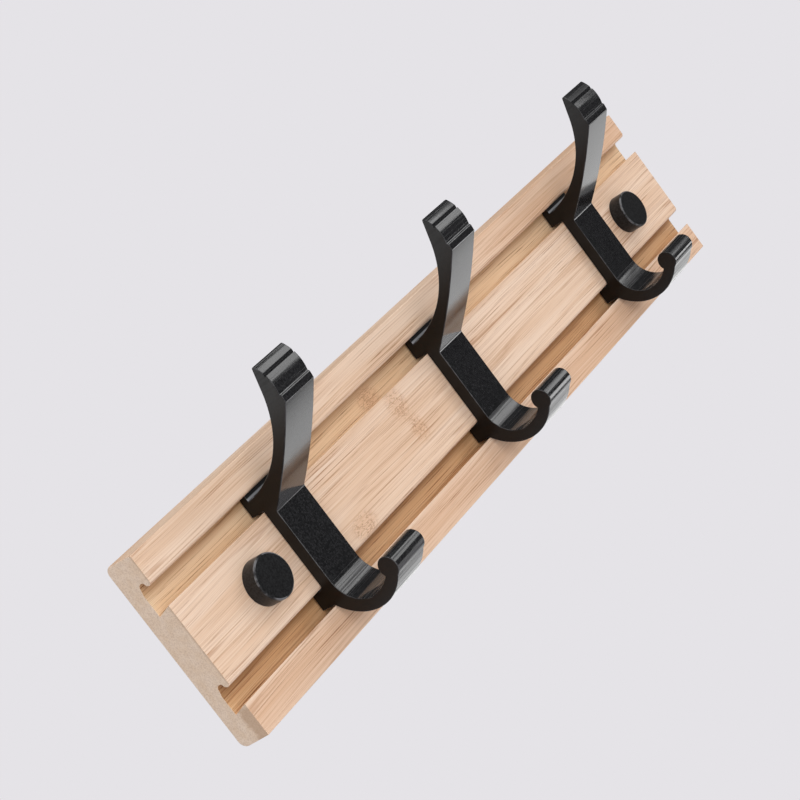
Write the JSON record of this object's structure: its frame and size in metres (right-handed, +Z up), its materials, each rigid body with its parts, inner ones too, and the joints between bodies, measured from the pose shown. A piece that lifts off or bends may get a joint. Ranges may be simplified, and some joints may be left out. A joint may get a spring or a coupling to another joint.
{
  "type": "wall coat rack",
  "caption": "Grooved wooden board for a wall, with sliding black coat hooks, each with a long upper prong and a curled lower hook, and round caps over its screws.",
  "frame": {"origin": "centre of the board's flat back face, which lies on the wall", "axes": "+X along the board to the right as seen from the front, +Y into the wall, +Z up"},
  "size_m": [0.314, 0.0606, 0.0794],
  "materials": {
    "bamboo": "bamboo with a thin matt oil finish and fine dark fibres along the board",
    "black_metal": "semi-gloss black coating on drawn aluminium, cut ends a little duller",
    "screw_steel": "zinc plated",
    "black_plastic": "fine matt grain"
  },
  "bodies": {
    "board": {"board": "bamboo", "screw_left": "screw_steel", "screw_right": "screw_steel", "cap_seat_left": "black_plastic", "cap_seat_right": "black_plastic"},
    "hook_left": {"hook_left": "black_metal"},
    "hook_middle": {"hook_middle": "black_metal"},
    "hook_right": {"hook_right": "black_metal"},
    "cap_left": {"cap_left": "black_plastic"},
    "cap_right": {"cap_right": "black_plastic"}
  },
  "joints": [
    {"name": "hook_left_slide", "type": "slide", "parent": "board", "child": "hook_left", "axis": [1, 0, 0], "range_m": [-0.009, 0.0414]},
    {"name": "hook_middle_slide", "type": "slide", "parent": "board", "child": "hook_middle", "axis": [1, 0, 0], "range_m": [-0.0414, 0.043]},
    {"name": "hook_right_slide", "type": "slide", "parent": "board", "child": "hook_right", "axis": [1, 0, 0], "range_m": [-0.043, 0.0109]},
    {"name": "cap_left_pull", "type": "slide", "parent": "board", "child": "cap_left", "axis": [0, -1, 0], "range_m": [0, 0.02]},
    {"name": "cap_right_pull", "type": "slide", "parent": "board", "child": "cap_right", "axis": [0, -1, 0], "range_m": [0, 0.02]}
  ]
}
